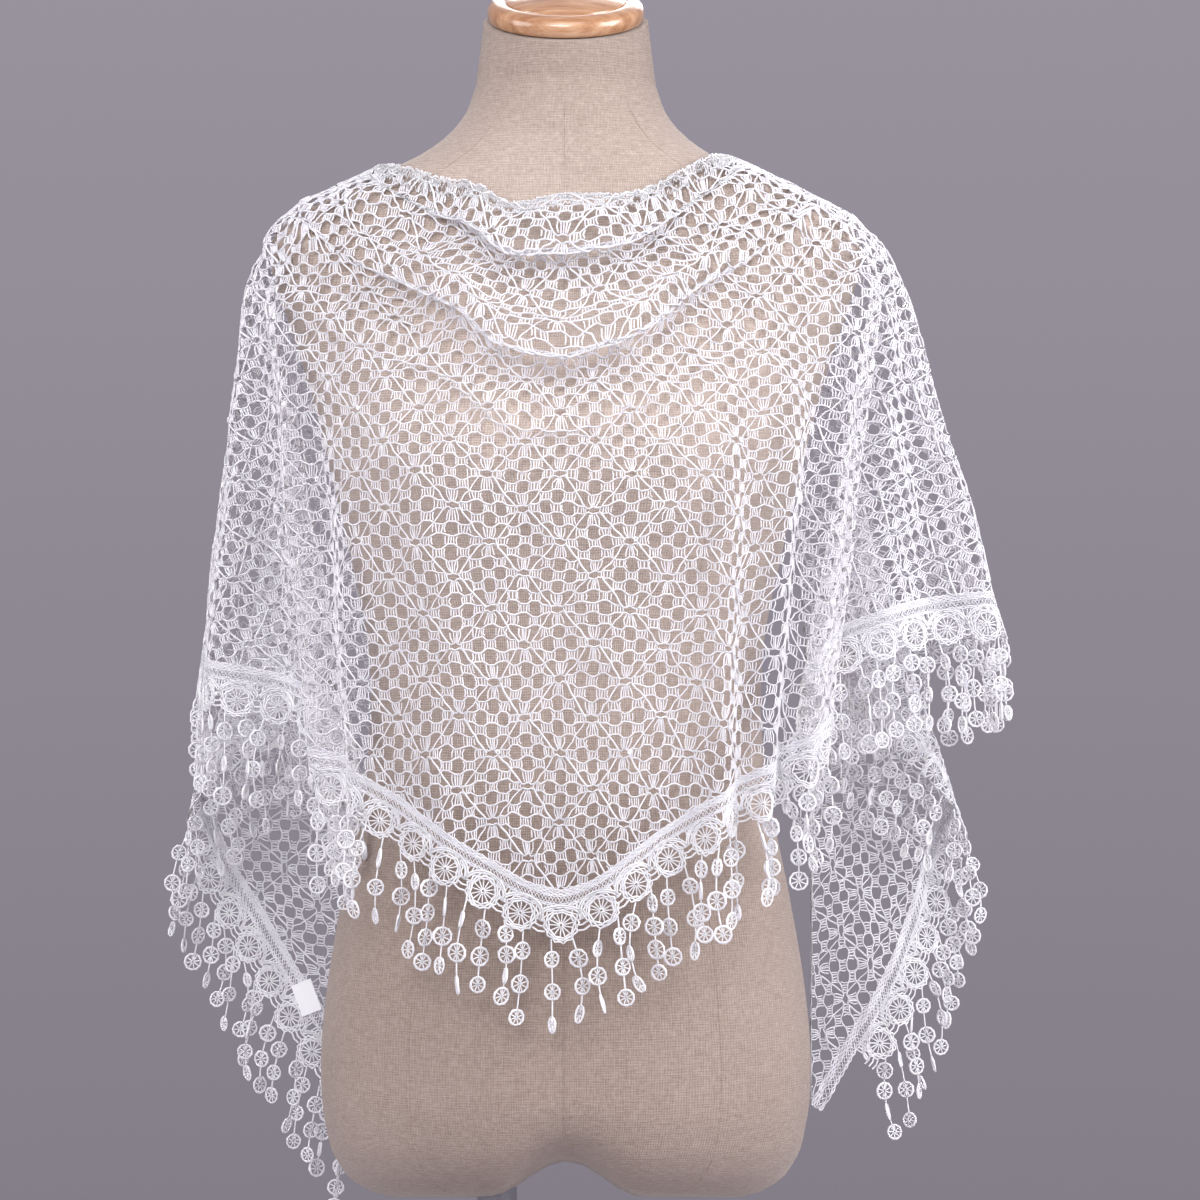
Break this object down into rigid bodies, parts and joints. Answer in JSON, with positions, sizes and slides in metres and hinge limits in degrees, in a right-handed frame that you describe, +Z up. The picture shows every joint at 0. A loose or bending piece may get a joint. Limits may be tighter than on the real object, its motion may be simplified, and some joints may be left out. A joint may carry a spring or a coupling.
{
  "type": "lace shawl on a limbless dress form with a stand",
  "caption": "White net lace shawl with medallion trim and drop fringe, worn point forward on a linen dress form with a wooden neck cap, chrome pole and round base.",
  "frame": {"origin": "on the floor, at the base's flat underside, below the axis of the dress form", "axes": "+Z up; the viewer stands at -Y and faces the shawl's point; +X is the viewer's right"},
  "size_m": [0.5808, 0.3198, 1.0718],
  "materials": {
    "linen": "linen cover",
    "turned_wood": "varnished",
    "chrome": "polished",
    "base_steel": "brushed",
    "lace": "openwork net lace",
    "hem_tape": "woven tape",
    "medallion_trim": "shiny embroidered wheels",
    "drop_fringe": "cords with small wheels",
    "label_cloth": "bare satin tab"
  },
  "bodies": {
    "root": {"form_torso": "linen", "neck_cap": "turned_wood", "stand_pole": "chrome", "stand_base": "base_steel", "lace_front": "lace", "lace_side_left": "lace", "lace_side_right": "lace", "lace_tail_left": "lace", "lace_tail_right": "lace", "tape_front": "hem_tape", "tape_side_left": "hem_tape", "tape_side_right": "hem_tape", "tape_tail_left": "hem_tape", "tape_tail_right": "hem_tape", "trim_front": "medallion_trim", "trim_side_left": "medallion_trim", "trim_side_right": "medallion_trim", "trim_tail_left": "medallion_trim", "trim_tail_right": "medallion_trim", "fringe_front": "drop_fringe", "fringe_side_left": "drop_fringe", "fringe_side_right": "drop_fringe", "fringe_tail_left": "drop_fringe", "fringe_tail_right": "drop_fringe", "care_label": "label_cloth"}
  },
  "joints": []
}
